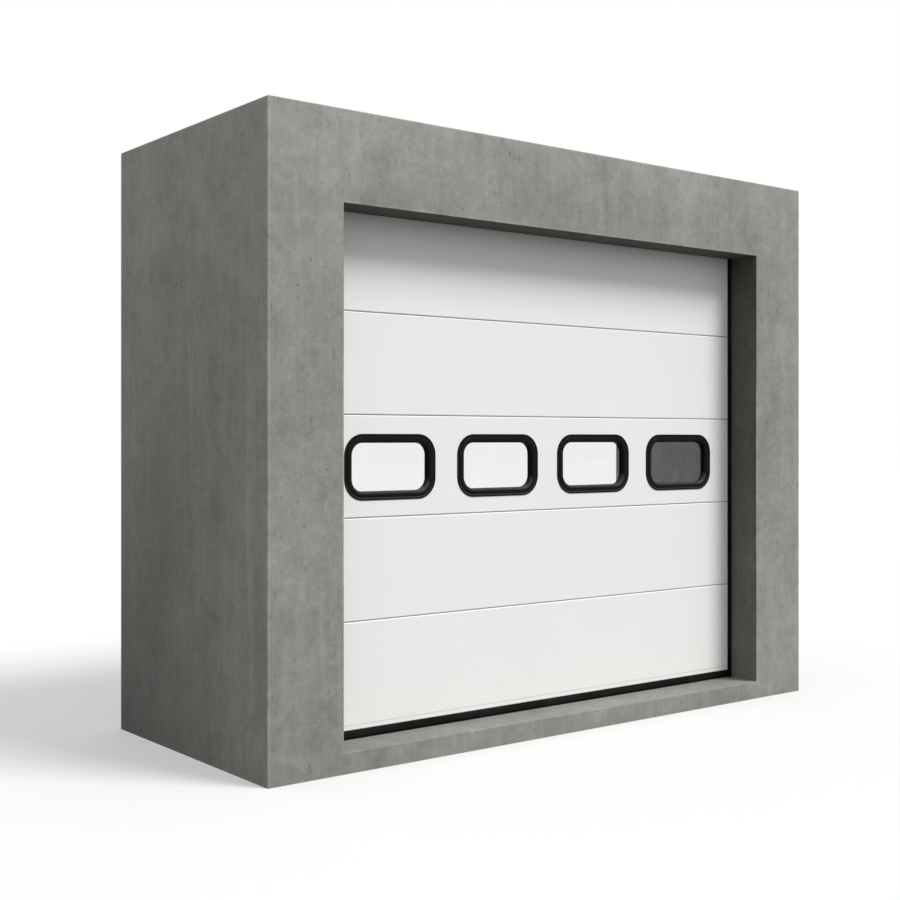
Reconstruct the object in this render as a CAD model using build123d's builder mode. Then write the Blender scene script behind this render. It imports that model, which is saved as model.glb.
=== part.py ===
from build123d import *
import os

os.makedirs("parts", exist_ok=True)

# Sectional garage door in a hollow concrete garage front, in millimetres
# X runs across the door, the front faces -Y, Z is up from the underside of the floor slab

# Concrete shell
block_w = 3750
block_d = 1550
block_h = 3077
slab_t = 100
roof_t = 120
front_t = 190
wall_front_t = 110
wall_back_t = 60
jamb_w = 405
lintel_h = 435
arris = 8

# Door leaf
section_count = 5
leaf_t = 40
leaf_gap = 14
leaf_side_lap = 27
leaf_top_lap = 25
bottom_seal_h = 45
bottom_rail_h = 22
seam = 3
rail_seam = 0.5
seam_bevel = 4
tongue_w = 16
tongue_h = 10
tongue_side_gap = 1
cap_t = 2
cap_flange = 60

# Glazing in the third section
window_section = 3
window_count = 4
window_h = 324
window_r = 106
window_gap = 141
window_end_gap = 158.5
window_row_shift = 25
window_drop = 4
frame_band = 44
frame_step = 13
flange_t = 4
raised_t = 3
sleeve_t = 12
sleeve_gap = 2
pane_recess = 18
pane_t = 8

# Rubber seals
side_seal_show = 23
side_seal_base = 32
seal_lip_t = 6
seal_wall = 4
seal_round = 12

# Roller track and the angle that carries it
track_back = 36
track_inner = 50
track_depth = 26
track_wall = 2
track_lip = 9
track_round = 6
track_offset = 20
track_drop = 102
curve_r = 300
track_stop = 75
angle_t = 2.5
angle_over = 200

# Rollers, hinges and brackets
stem_r = 5.5
wheel_r = 23
wheel_w = 13
hinge_w = 50
hinge_plate = 52
plate_t = 3
knuckle_r = 7
tube_r = 9
bottom_roller_up = 40
top_roller_up = 60

# Torsion shaft with its springs and cable drums
shaft_r = 12.5
shaft_back = 75
shaft_up = 92
spring_out_r = 27
spring_in_r = 20
spring_len = 650
cone_len = 34
drum_r = 40
drum_flange_r = 52
drum_w = 30
drum_gap = 3
cable_r = 2
bearing_plate = 110

# Planes that the rest is set out from
x_out = block_w / 2
y_front = -block_d / 2
y_back = block_d / 2
y_wall = y_front + front_t
open_x = x_out - jamb_w
soffit_z = block_h - lintel_h
roof_z = block_h - roof_t
leaf_x = open_x + leaf_side_lap
body_x = leaf_x - cap_t
y_face = y_wall + leaf_gap
y_rear = y_face + leaf_t
rail_z = slab_t + bottom_seal_h
leaf_z = rail_z + bottom_rail_h
leaf_top = soffit_z + leaf_top_lap
section_h = (leaf_top - leaf_z) / section_count
window_row_w = 2 * (open_x - window_end_gap)
window_w = (window_row_w - (window_count - 1) * window_gap) / window_count
window_pitch = window_w + window_gap
window_z = leaf_z + (window_section - 0.5) * section_h - window_drop
first_window_x = -window_row_w / 2 + window_w / 2 - window_row_shift
window_xs = [first_window_x + i * window_pitch for i in range(window_count)]
seam_zs = [leaf_z + i * section_h for i in range(1, section_count)]

track_y = y_rear + track_back
track_x = leaf_x + track_offset
track_half = track_inner / 2 + track_wall
bend_z = soffit_z - track_drop
bend_y = track_y + curve_r
run_z = bend_z + curve_r
wheel_x = track_x + track_depth / 2
shaft_y = y_wall + shaft_back
shaft_z = roof_z - shaft_up
drum_x = leaf_x + drum_gap
cable_x = drum_x + drum_w / 3
cable_y = shaft_y - drum_r - cable_r

# Concrete shell: one hollow casting, tapered inside, then cut into its walls and slabs
with BuildPart() as shell:
    with BuildSketch():
        Rectangle(block_w, block_d)
    extrude(amount=block_h)
    chamfer(shell.edges().filter_by(Axis.Z), length=arris)
    chamfer(shell.faces().sort_by(Axis.Z)[-1].edges(), length=arris)
    with BuildSketch(Plane.XY.offset(slab_t)):
        with BuildLine():
            front_x = x_out - wall_front_t
            back_x = x_out - wall_back_t
            Polyline((-front_x, y_wall), (front_x, y_wall), (back_x, y_back), (-back_x, y_back), close=True)
        make_face()
    extrude(amount=roof_z - slab_t, mode=Mode.SUBTRACT)
    with BuildSketch(Plane.XZ.offset(-y_front)):
        with Locations((0, (slab_t + soffit_z) / 2)):
            Rectangle(2 * open_x, soffit_z - slab_t)
    extrude(amount=-front_t, mode=Mode.SUBTRACT)
    mouth = shell.edges().filter_by_position(Axis.Y, y_front - arris / 2, y_front + arris / 2)
    mouth = mouth.filter_by_position(Axis.X, -open_x - arris / 2, open_x + arris / 2)
    mouth = mouth.filter_by_position(Axis.Z, slab_t + arris / 2, soffit_z + arris / 2)
    chamfer(mouth, length=arris)


def shell_piece(name, x0, x1, y0, y1, z0, z1):
    with BuildPart() as piece:
        add(shell.part)
        with Locations(((x0 + x1) / 2, (y0 + y1) / 2, (z0 + z1) / 2)):
            Box(x1 - x0, y1 - y0, z1 - z0, mode=Mode.INTERSECT)
    piece.part.label = name
    export_step(piece.part, f"parts/{name}.step")


shell_piece("floor_slab", -x_out, x_out, y_front, y_back, 0, slab_t)
shell_piece("roof_slab", -x_out, x_out, y_front, y_back, roof_z, block_h)
shell_piece("left_side_wall", -x_out, -open_x, y_wall, y_back, slab_t, roof_z)
shell_piece("right_side_wall", open_x, x_out, y_wall, y_back, slab_t, roof_z)
shell_piece("left_front_pier", -x_out, -open_x, y_front, y_wall, slab_t, roof_z)
shell_piece("right_front_pier", open_x, x_out, y_front, y_wall, slab_t, roof_z)
shell_piece("front_lintel", -open_x, open_x, y_front, y_wall, soffit_z, roof_z)


# Profile of a leaf section in the YZ plane, with a tongue above and a groove below
def section_profile(z0, z1, tongue=True, groove=tongue_h - seam, bevel_low=True, bevel_high=True):
    middle = (y_face + y_rear) / 2
    with Locations((middle, (z0 + z1) / 2)):
        body = Rectangle(leaf_t, z1 - z0)
    low_corner, high_corner = body.vertices().group_by(Axis.X)[0].sort_by(Axis.Y)
    bevelled = [corner for corner, wanted in ((low_corner, bevel_low), (high_corner, bevel_high)) if wanted]
    chamfer(bevelled, length=seam_bevel)
    if tongue:
        with Locations((middle, z1)):
            Rectangle(tongue_w, tongue_h, align=(Align.CENTER, Align.MIN))
    if groove:
        with Locations((middle, z0)):
            Rectangle(
                tongue_w + 2 * tongue_side_gap, groove,
                align=(Align.CENTER, Align.MIN), mode=Mode.SUBTRACT,
            )


# Leaf sections, hung one on the next along their tongues
for index in range(section_count):
    low_seam = rail_seam if index == 0 else seam
    low = leaf_z + index * section_h + low_seam / 2
    last = index == section_count - 1
    high = leaf_z + (index + 1) * section_h - (0 if last else seam / 2)
    with BuildPart() as section:
        with BuildSketch(Plane.YZ.offset(-body_x)):
            section_profile(low, high, not last, tongue_h - low_seam, bevel_low=index > 0)
        extrude(amount=2 * body_x)
        if index == window_section - 1:
            with BuildSketch(Plane.XZ.offset(-y_face)):
                with Locations(*[(x, window_z) for x in window_xs]):
                    RectangleRounded(
                        window_w - 2 * (frame_band - sleeve_t - sleeve_gap),
                        window_h - 2 * (frame_band - sleeve_t - sleeve_gap),
                        window_r - frame_band + sleeve_t + sleeve_gap,
                    )
            extrude(amount=-leaf_t, mode=Mode.SUBTRACT)
    section.part.label = f"leaf_section_{index + 1}"
    export_step(section.part, f"parts/leaf_section_{index + 1}.step")


# Ring of the window shape, inset by a band and extruded back from a given plane
def window_ring(y0, depth, outset, inset):
    with BuildSketch(Plane.XZ.offset(-y0)) as ring:
        with Locations(*[(x, window_z) for x in window_xs]):
            RectangleRounded(window_w - 2 * outset, window_h - 2 * outset, window_r - outset)
            RectangleRounded(
                window_w - 2 * inset, window_h - 2 * inset, window_r - inset, mode=Mode.SUBTRACT
            )
    extrude(ring.sketch, amount=-depth)


with BuildPart() as window_frames:
    window_ring(y_face - flange_t, flange_t, 0, frame_band)
    window_ring(y_face - flange_t - raised_t, raised_t, frame_step, frame_band)
    window_ring(y_face, pane_recess, frame_band - sleeve_t, frame_band)
window_frames.part.label = "window_frames"
export_step(window_frames.part, "parts/window_frames.step")

with BuildPart() as window_panes:
    with BuildSketch(Plane.XZ.offset(-(y_face + pane_recess))):
        with Locations(*[(x, window_z) for x in window_xs]):
            pane_inset = frame_band - sleeve_t
            RectangleRounded(
                window_w - 2 * pane_inset, window_h - 2 * pane_inset, window_r - pane_inset
            )
    extrude(amount=-pane_t)
window_panes.part.label = "window_panes"
export_step(window_panes.part, "parts/window_panes.step")

with BuildPart() as window_clamps:
    clamp_y = y_face + pane_recess + pane_t
    window_ring(clamp_y, y_rear - clamp_y, frame_band - sleeve_t, frame_band)
    window_ring(y_rear, flange_t, 0, frame_band)
window_clamps.part.label = "window_clamps"
export_step(window_clamps.part, "parts/window_clamps.step")

# Aluminium bottom rail, a hollow extrusion with the same tongue as a section
with BuildPart() as bottom_rail:
    with BuildSketch(Plane.YZ.offset(-body_x)):
        section_profile(rail_z, leaf_z - rail_seam / 2, groove=0, bevel_high=False)
        with Locations(((y_face + y_rear) / 2, (rail_z + leaf_z - rail_seam / 2) / 2)):
            Rectangle(leaf_t - 4 * cap_t - seam_bevel, bottom_rail_h - 5 * cap_t, mode=Mode.SUBTRACT)
    extrude(amount=2 * body_x)
bottom_rail.part.label = "bottom_rail"
export_step(bottom_rail.part, "parts/bottom_rail.step")

# Hollow rubber seal under the rail, resting on the floor slab
with BuildPart() as bottom_seal:
    with BuildSketch(Plane.YZ.offset(-body_x)):
        seal_w = leaf_t - 2 * cap_t
        with Locations(((y_face + y_rear) / 2, slab_t)):
            outline = Rectangle(seal_w, bottom_seal_h, align=(Align.CENTER, Align.MIN))
        fillet(outline.vertices().group_by(Axis.Y)[0], radius=seal_round)
        with Locations(((y_face + y_rear) / 2, slab_t + seal_wall)):
            Rectangle(
                seal_w - 2 * seal_wall, bottom_seal_h - 3 * seal_wall,
                align=(Align.CENTER, Align.MIN), mode=Mode.SUBTRACT,
            )
        with Locations((y_face + cap_t, slab_t + bottom_seal_h / 2)):
            Rectangle(seal_wall, seal_wall, rotation=45, mode=Mode.SUBTRACT)
    extrude(amount=2 * body_x)
bottom_seal.part.label = "bottom_seal"
export_step(bottom_seal.part, "parts/bottom_seal.step")


# Rubber side seal: a base on the pier and a lip that lies on the leaf
def side_seal(side):
    with BuildSketch(Plane.XY.offset(slab_t)) as strip:
        with Locations((side * (open_x + side_seal_base / 2), (y_wall + y_face) / 2)):
            Rectangle(side_seal_base, leaf_gap)
        with Locations((side * (open_x - side_seal_show / 2), y_face - seal_lip_t / 2)):
            Rectangle(side_seal_show, seal_lip_t)
    extrude(strip.sketch, amount=leaf_top - slab_t)


with BuildPart() as left_side_seal:
    side_seal(-1)
left_side_seal.part.label = "left_side_seal"
export_step(left_side_seal.part, "parts/left_side_seal.step")

with BuildPart() as right_side_seal:
    side_seal(1)
right_side_seal.part.label = "right_side_seal"
export_step(right_side_seal.part, "parts/right_side_seal.step")

with BuildPart() as top_seal:
    seal_x = open_x - side_seal_show
    with BuildSketch(Plane.YZ.offset(-seal_x)):
        with Locations(((y_wall + y_face) / 2, (soffit_z + leaf_top) / 2)):
            strip = Rectangle(leaf_gap, leaf_top_lap)
        fillet(strip.vertices().group_by(Axis.Y)[-1], radius=seal_wall)
    extrude(amount=2 * seal_x)
top_seal.part.label = "top_seal"
export_step(top_seal.part, "parts/top_seal.step")


# Folded steel caps on the ends of the sections
def end_caps(side):
    for index in range(section_count):
        low = leaf_z + index * section_h + seam / 2
        high = leaf_z + (index + 1) * section_h - seam / 2
        with BuildSketch(Plane.XY.offset(low)) as cap:
            with Locations((side * (body_x + cap_t / 2), (y_face + y_rear) / 2 + cap_t)):
                Rectangle(cap_t, leaf_t - 2 * cap_t)
            with Locations((side * (leaf_x - cap_flange / 2), y_rear + cap_t / 2)):
                Rectangle(cap_flange, cap_t)
        extrude(cap.sketch, amount=high - low)


with BuildPart() as left_end_caps:
    end_caps(-1)
left_end_caps.part.label = "left_end_caps"
export_step(left_end_caps.part, "parts/left_end_caps.step")

with BuildPart() as right_end_caps:
    end_caps(1)
right_end_caps.part.label = "right_end_caps"
export_step(right_end_caps.part, "parts/right_end_caps.step")

# Hinges between the windows, two plates and a knuckle across each seam
with BuildPart() as centre_hinges:
    for z in seam_zs:
        for i in range(window_count - 1):
            hinge_x = (window_xs[i] + window_xs[i + 1]) / 2
            with Locations((hinge_x, y_rear + plate_t / 2, z)):
                Box(hinge_w, plate_t, 2 * hinge_plate)
            with Locations((hinge_x, y_rear + knuckle_r, z)):
                Cylinder(knuckle_r, hinge_w, rotation=(0, 90, 0))
centre_hinges.part.label = "centre_hinges"
export_step(centre_hinges.part, "parts/centre_hinges.step")


# Roller holder: a plate on the end cap, two cheeks and the tube that the stem slides in
def roller_holder(side, z, axis_y, half_plate):
    holder_x = side * (leaf_x - cap_flange / 2)
    base_y = y_rear + cap_t
    with Locations((holder_x, base_y + plate_t / 2, z)):
        Box(cap_flange - plate_t, plate_t, 2 * half_plate)
    with Locations((holder_x, 0, z)):
        for cheek in (-1, 1):
            with Locations((cheek * (hinge_w - plate_t) / 2, (base_y + axis_y) / 2, 0)):
                Box(plate_t, axis_y - base_y, 2 * tube_r)
        with Locations((0, axis_y, 0)):
            Cylinder(tube_r, hinge_w, rotation=(0, 90, 0))
            Cylinder(stem_r, hinge_w, rotation=(0, 90, 0), mode=Mode.SUBTRACT)


bottom_roller_z = leaf_z + bottom_roller_up
top_roller_z = bend_z + top_roller_up
top_roller_y = bend_y - (curve_r**2 - top_roller_up**2) ** 0.5
roller_spots = [(bottom_roller_z, track_y)] + [(z, track_y) for z in seam_zs]
roller_spots.append((top_roller_z, top_roller_y))

with BuildPart() as left_side_hinges:
    for z in seam_zs:
        roller_holder(-1, z, track_y, hinge_plate)
left_side_hinges.part.label = "left_side_hinges"
export_step(left_side_hinges.part, "parts/left_side_hinges.step")

with BuildPart() as right_side_hinges:
    for z in seam_zs:
        roller_holder(1, z, track_y, hinge_plate)
right_side_hinges.part.label = "right_side_hinges"
export_step(right_side_hinges.part, "parts/right_side_hinges.step")

with BuildPart() as top_brackets:
    for side in (-1, 1):
        roller_holder(side, top_roller_z, top_roller_y, hinge_plate)
top_brackets.part.label = "top_brackets"
export_step(top_brackets.part, "parts/top_brackets.step")

# Bottom brackets also reach round the leaf's end to a lug for the lift cable
with BuildPart() as bottom_brackets:
    half = bottom_roller_up - seam
    for side in (-1, 1):
        roller_holder(side, bottom_roller_z, track_y, half)
        wrap_y0 = y_face + 4 * cap_t
        wrap_y1 = y_rear + cap_t + plate_t
        with Locations((side * (leaf_x + plate_t / 2), (wrap_y0 + wrap_y1) / 2, bottom_roller_z)):
            Box(plate_t, wrap_y1 - wrap_y0, 2 * half)
        with Locations((side * (leaf_x - plate_t / 2), y_rear + cap_t + plate_t / 2, bottom_roller_z)):
            Box(plate_t * 3, plate_t, 2 * half)
        with Locations((side * cable_x, cable_y, bottom_roller_z)):
            Box(2 * (cable_x - leaf_x - plate_t), 4 * plate_t, 2 * plate_t)
bottom_brackets.part.label = "bottom_brackets"
export_step(bottom_brackets.part, "parts/bottom_brackets.step")

# Rollers: a wheel turned in one piece with its stem
with BuildPart() as rollers:
    stem_in = leaf_x - cap_flange / 2 - hinge_w / 2
    stem_out = wheel_x - wheel_w / 2
    for side in (-1, 1):
        for z, y in roller_spots:
            with Locations((side * (stem_in + stem_out) / 2, y, z)):
                Cylinder(stem_r, stem_out - stem_in, rotation=(0, 90, 0))
            with Locations((side * wheel_x, y, z)):
                Cylinder(wheel_r, wheel_w, rotation=(0, 90, 0))
rollers.part.label = "rollers"
export_step(rollers.part, "parts/rollers.step")


# Track profile: rolled strip bent to a channel with turned lips, open towards the leaf
def track_profile(middle, plane):
    web_x = track_x + track_depth
    lip_end = track_half - track_lip
    with BuildSketch(plane) as channel:
        with BuildLine() as strip:
            Polyline(
                (track_x, middle - lip_end), (track_x, middle - track_half), (web_x, middle - track_half),
                (web_x, middle + track_half), (track_x, middle + track_half), (track_x, middle + lip_end),
            )
            bends = strip.vertices().filter_by(lambda v: abs(v.X - web_x) < track_wall)
            chamfer(bends, length=track_round)
            offset(amount=track_wall, side=Side.LEFT)
        make_face()
    return channel.sketch


# Steel angle from the pier to the track's web
def wall_angle(side):
    web_x = track_x + track_depth
    with BuildSketch(Plane.XY.offset(slab_t)) as profile:
        with Locations((side * (web_x + angle_t / 2), (y_wall + track_y + track_inner / 2) / 2)):
            Rectangle(angle_t, track_y + track_inner / 2 - y_wall)
        with Locations((side * (open_x + side_seal_base + web_x + angle_t) / 2, y_wall + angle_t / 2)):
            Rectangle(web_x + angle_t - open_x - side_seal_base, angle_t)
    extrude(profile.sketch, amount=bend_z + angle_over - slab_t)


with BuildPart() as right_vertical_track:
    extrude(track_profile(track_y, Plane.XY.offset(slab_t)), amount=bend_z - slab_t)
right_vertical_track.part.label = "right_vertical_track"
export_step(right_vertical_track.part, "parts/right_vertical_track.step")

with BuildPart() as left_vertical_track:
    mirror(right_vertical_track.part, about=Plane.YZ)
left_vertical_track.part.label = "left_vertical_track"
export_step(left_vertical_track.part, "parts/left_vertical_track.step")

with BuildPart() as right_curved_track:
    bend_axis = Axis((0, bend_y, bend_z), (1, 0, 0))
    revolve(track_profile(track_y, Plane.XY.offset(bend_z)), axis=bend_axis, revolution_arc=-90)
right_curved_track.part.label = "right_curved_track"
export_step(right_curved_track.part, "parts/right_curved_track.step")

with BuildPart() as left_curved_track:
    mirror(right_curved_track.part, about=Plane.YZ)
left_curved_track.part.label = "left_curved_track"
export_step(left_curved_track.part, "parts/left_curved_track.step")

with BuildPart() as right_horizontal_track:
    run_len = y_back - track_stop - bend_y
    extrude(track_profile(run_z, Plane.XZ.offset(-bend_y)), amount=-run_len)
right_horizontal_track.part.label = "right_horizontal_track"
export_step(right_horizontal_track.part, "parts/right_horizontal_track.step")

with BuildPart() as left_horizontal_track:
    mirror(right_horizontal_track.part, about=Plane.YZ)
left_horizontal_track.part.label = "left_horizontal_track"
export_step(left_horizontal_track.part, "parts/left_horizontal_track.step")

with BuildPart() as left_wall_angle:
    wall_angle(-1)
left_wall_angle.part.label = "left_wall_angle"
export_step(left_wall_angle.part, "parts/left_wall_angle.step")

with BuildPart() as right_wall_angle:
    wall_angle(1)
right_wall_angle.part.label = "right_wall_angle"
export_step(right_wall_angle.part, "parts/right_wall_angle.step")

# Angle hangers from the roof to the horizontal tracks
with BuildPart() as track_hangers:
    hanger_z = run_z + track_half
    for side in (-1, 1):
        for y in (bend_y + track_stop, y_back - 2 * track_stop):
            with BuildSketch(Plane.XY.offset(hanger_z)):
                with Locations((side * (track_x + track_depth / 2), y)):
                    Rectangle(track_depth, plate_t)
                with Locations((side * (track_x + track_depth - plate_t / 2), y + track_depth / 2)):
                    Rectangle(plate_t, track_depth + plate_t)
            extrude(amount=roof_z - hanger_z)
track_hangers.part.label = "track_hangers"
export_step(track_hangers.part, "parts/track_hangers.step")


# Bearing plate that stands off the wall, bored for the shaft
def bearing(x, side):
    with Locations((x, (y_wall + shaft_y + bearing_plate / 2) / 2, shaft_z)):
        Box(plate_t, shaft_y + bearing_plate / 2 - y_wall, bearing_plate)
    with Locations((x + side * bearing_plate / 4, y_wall + plate_t / 2, shaft_z)):
        Box(bearing_plate / 2, plate_t, bearing_plate)
    with Locations((x, shaft_y, shaft_z)):
        Cylinder(shaft_r, 2 * plate_t, rotation=(0, 90, 0), mode=Mode.SUBTRACT)


bearing_x = track_x + track_depth + angle_t + 2 * plate_t

with BuildPart() as torsion_shaft:
    with Locations((0, shaft_y, shaft_z)):
        Cylinder(shaft_r, 2 * (bearing_x + 5 * plate_t), rotation=(0, 90, 0))
torsion_shaft.part.label = "torsion_shaft"
export_step(torsion_shaft.part, "parts/torsion_shaft.step")

with BuildPart() as end_bearing_plates:
    for side in (-1, 1):
        bearing(side * bearing_x, side)
end_bearing_plates.part.label = "end_bearing_plates"
export_step(end_bearing_plates.part, "parts/end_bearing_plates.step")

with BuildPart() as centre_bearing_plate:
    bearing(0, 1)
centre_bearing_plate.part.label = "centre_bearing_plate"
export_step(centre_bearing_plate.part, "parts/centre_bearing_plate.step")

# Torsion springs as their tube of closed coils, with a cone on the shaft at both ends
with BuildPart() as torsion_springs:
    for side in (-1, 1):
        with Locations((side * (plate_t / 2 + cone_len + spring_len / 2), shaft_y, shaft_z)):
            Cylinder(spring_out_r, spring_len, rotation=(0, 90, 0))
            Cylinder(spring_in_r, spring_len, rotation=(0, 90, 0), mode=Mode.SUBTRACT)
torsion_springs.part.label = "torsion_springs"
export_step(torsion_springs.part, "parts/torsion_springs.step")

with BuildPart() as spring_cones:
    for side in (-1, 1):
        inner_end = plate_t / 2 + cone_len
        outer_end = inner_end + spring_len
        for head_x in (inner_end - cone_len / 2, outer_end + cone_len / 2):
            with Locations((side * head_x, shaft_y, shaft_z)):
                Cylinder(spring_out_r, cone_len, rotation=(0, 90, 0))
                Cylinder(shaft_r, cone_len, rotation=(0, 90, 0), mode=Mode.SUBTRACT)
spring_cones.part.label = "spring_cones"
export_step(spring_cones.part, "parts/spring_cones.step")

with BuildPart() as cable_drums:
    for side in (-1, 1):
        with Locations((side * (drum_x + drum_w / 2), shaft_y, shaft_z)):
            Cylinder(drum_r, drum_w, rotation=(0, 90, 0))
        for flange_x in (drum_x - plate_t / 2, drum_x + drum_w + plate_t / 2):
            with Locations((side * flange_x, shaft_y, shaft_z)):
                Cylinder(drum_flange_r, plate_t, rotation=(0, 90, 0))
        with Locations((side * (drum_x + drum_w / 2), shaft_y, shaft_z)):
            Cylinder(shaft_r, 2 * drum_w, rotation=(0, 90, 0), mode=Mode.SUBTRACT)
cable_drums.part.label = "cable_drums"
export_step(cable_drums.part, "parts/cable_drums.step")

with BuildPart() as lift_cables:
    cable_low = bottom_roller_z + plate_t
    for side in (-1, 1):
        with Locations((side * cable_x, cable_y, (cable_low + shaft_z) / 2)):
            Cylinder(cable_r, shaft_z - cable_low)
lift_cables.part.label = "lift_cables"
export_step(lift_cables.part, "parts/lift_cables.step")
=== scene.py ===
import math

import bmesh
import bpy
from mathutils import Matrix, Vector


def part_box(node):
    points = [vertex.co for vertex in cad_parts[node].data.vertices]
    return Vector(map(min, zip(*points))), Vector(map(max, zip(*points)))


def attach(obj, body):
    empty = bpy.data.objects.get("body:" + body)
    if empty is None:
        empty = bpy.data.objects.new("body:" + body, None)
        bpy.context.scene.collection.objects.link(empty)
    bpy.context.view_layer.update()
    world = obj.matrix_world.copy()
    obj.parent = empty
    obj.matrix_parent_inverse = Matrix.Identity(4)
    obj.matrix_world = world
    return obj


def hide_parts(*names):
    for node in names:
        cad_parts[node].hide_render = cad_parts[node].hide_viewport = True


bl_info = {
    "name": "Sectional garage door",
    "version": (1, 0, 0),
    "blender": (4, 5, 0),
    "location": "View3D > Sidebar > Garage door",
    "description": "Finishes a sectional garage door in its hollow concrete front",
    "category": "Add Mesh",
}

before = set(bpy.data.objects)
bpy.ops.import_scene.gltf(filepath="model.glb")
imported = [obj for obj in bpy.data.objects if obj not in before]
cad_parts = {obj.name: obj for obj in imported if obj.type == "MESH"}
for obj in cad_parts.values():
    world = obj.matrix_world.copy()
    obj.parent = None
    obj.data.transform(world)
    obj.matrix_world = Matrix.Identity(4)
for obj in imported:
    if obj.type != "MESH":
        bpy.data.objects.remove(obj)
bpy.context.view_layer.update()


# Sizes and colours that a user would change


def colour_property(name, description, default):
    return bpy.props.FloatVectorProperty(
        name=name, description=description, subtype="COLOR", size=3, min=0, max=1, default=default,
    )


def length_property(name, description, default, low, high):
    return bpy.props.FloatProperty(
        name=name, description=description, subtype="DISTANCE", unit="LENGTH", default=default,
        min=low, max=high,
    )


class DoorColours(bpy.types.PropertyGroup):
    concrete_light: colour_property(
        "Concrete, light", "Pale clouds of the cast concrete", (0.319, 0.325, 0.298)
    )
    concrete_dark: colour_property(
        "Concrete, dark", "Dark clouds of the cast concrete", (0.157, 0.162, 0.146)
    )
    leaf: colour_property(
        "Leaf", "Coating on the outer skin of the sections", (0.80, 0.80, 0.785)
    )
    leaf_inside: colour_property(
        "Leaf, inside", "Coating on the inner skin of the sections", (0.70, 0.705, 0.69)
    )
    window_frame: colour_property(
        "Window frame", "Moulded frames of the glazing", (0.0085, 0.0085, 0.008)
    )
    rubber: colour_property(
        "Rubber", "Seals round the leaf", (0.005, 0.005, 0.005)
    )
    zinc: colour_property(
        "Zinc", "Galvanised tracks, hinges and brackets", (0.56, 0.57, 0.58)
    )
    nylon: colour_property(
        "Nylon", "Tyres of the rollers", (0.74, 0.73, 0.69)
    )


class DoorSizes(bpy.types.PropertyGroup):
    arris: length_property(
        "Arris", "Rounding of the concrete edges", 0.006, 0.001, 0.03
    )
    inner_arris: length_property(
        "Inner arris", "Chamfer round the open back of the concrete shell", 0.028, 0.005, 0.04
    )
    frame_band: length_property(
        "Frame band", "Width of a window frame seen from the front", 0.044, 0.03, 0.06
    )
    frame_radius: length_property(
        "Frame radius", "Outer corner radius of a window frame", 0.106, 0.08, 0.14
    )
    coil_wire: length_property(
        "Spring wire", "Wire diameter of the torsion springs", 0.0065, 0.003, 0.01
    )
    screw_head: length_property(
        "Screw head", "Width across the hexagon of a hinge screw", 0.010, 0.005, 0.02
    )


class StageSettings(bpy.types.PropertyGroup):
    focal_length: bpy.props.FloatProperty(
        name="Focal length", description="Camera lens on a 36 mm sensor, in millimetres",
        default=53.37, min=10, max=200,
    )
    camera_place: bpy.props.FloatVectorProperty(
        name="Camera place", description="Where the camera stands",
        subtype="TRANSLATION", unit="LENGTH", size=3, default=(-4.8730, -5.9316, 1.5549),
    )
    camera_turn: bpy.props.FloatProperty(
        name="Camera turn", description="How far the view turns from straight ahead to the right",
        subtype="ANGLE", unit="ROTATION", default=math.radians(37.95),
    )
    camera_rise: bpy.props.FloatProperty(
        name="Lens shift", description="Vertical lens shift, as a part of the picture's width",
        default=-0.01336, min=-0.1, max=0.1,
    )
    sun_strength: bpy.props.FloatProperty(
        name="Key light", description="Strength of the key light", default=3.1, min=0, max=10,
    )
    sun_spread: bpy.props.FloatProperty(
        name="Key spread", description="Angular size of the key light",
        subtype="ANGLE", unit="ROTATION", default=math.radians(22),
    )
    sun_from: bpy.props.FloatVectorProperty(
        name="Key direction", description="Direction from the door towards the key light",
        subtype="DIRECTION", size=3, default=(0.63, -1.0, 1.44),
    )
    sky_strength: bpy.props.FloatProperty(
        name="Fill light", description="Strength of the even light from all round",
        default=0.78, min=0, max=2,
    )


# Node helpers


def feed(tree, socket, value):
    """Links a node's input to an output, or sets its value."""
    if isinstance(value, bpy.types.NodeSocket):
        tree.links.new(value, socket)
    elif socket.type == "RGBA":
        socket.default_value = (*value[:3], 1.0)
    else:
        socket.default_value = value


def node(tree, kind, inputs=None, **settings):
    made = tree.nodes.new(kind)
    for name, value in settings.items():
        setattr(made, name, value)
    for name, value in (inputs or {}).items():
        feed(tree, made.inputs[name], value)
    return made


def maths(tree, operation, first, second=0.0, clamp=False):
    return node(
        tree, "ShaderNodeMath", {0: first, 1: second}, operation=operation, use_clamp=clamp
    ).outputs[0]


def times(tree, *factors):
    product = factors[0]
    for factor in factors[1:]:
        product = maths(tree, "MULTIPLY", product, factor)
    return product


def fading(tree, value, reach):
    """Falls from one where the value is nothing to nothing where it's the reach."""
    return maths(tree, "SUBTRACT", 1.0, maths(tree, "DIVIDE", value, reach), clamp=True)


def blend_colour(tree, factor, first, second, mode="MIX"):
    return node(
        tree, "ShaderNodeMix", {0: factor, 6: first, 7: second}, data_type="RGBA", blend_type=mode
    ).outputs[2]


def scale_range(tree, value, low, high, out_low=0.0, out_high=1.0):
    return node(
        tree, "ShaderNodeMapRange",
        {"Value": value, "From Min": low, "From Max": high, "To Min": out_low, "To Max": out_high},
        clamp=True,
    ).outputs[0]


def noise(tree, vector, scale, detail, roughness, distortion=0.0):
    return node(
        tree, "ShaderNodeTexNoise",
        {"Vector": vector, "Scale": scale, "Detail": detail, "Roughness": roughness,
         "Distortion": distortion},
    ).outputs[0]


def stretched(tree, vector, scale):
    if scale is None:
        return vector
    return node(tree, "ShaderNodeMapping", {"Vector": vector, "Scale": scale}).outputs[0]


def axes(tree, vector):
    return node(tree, "ShaderNodeSeparateXYZ", {0: vector}).outputs


# Shader groups that several finishes share


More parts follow.
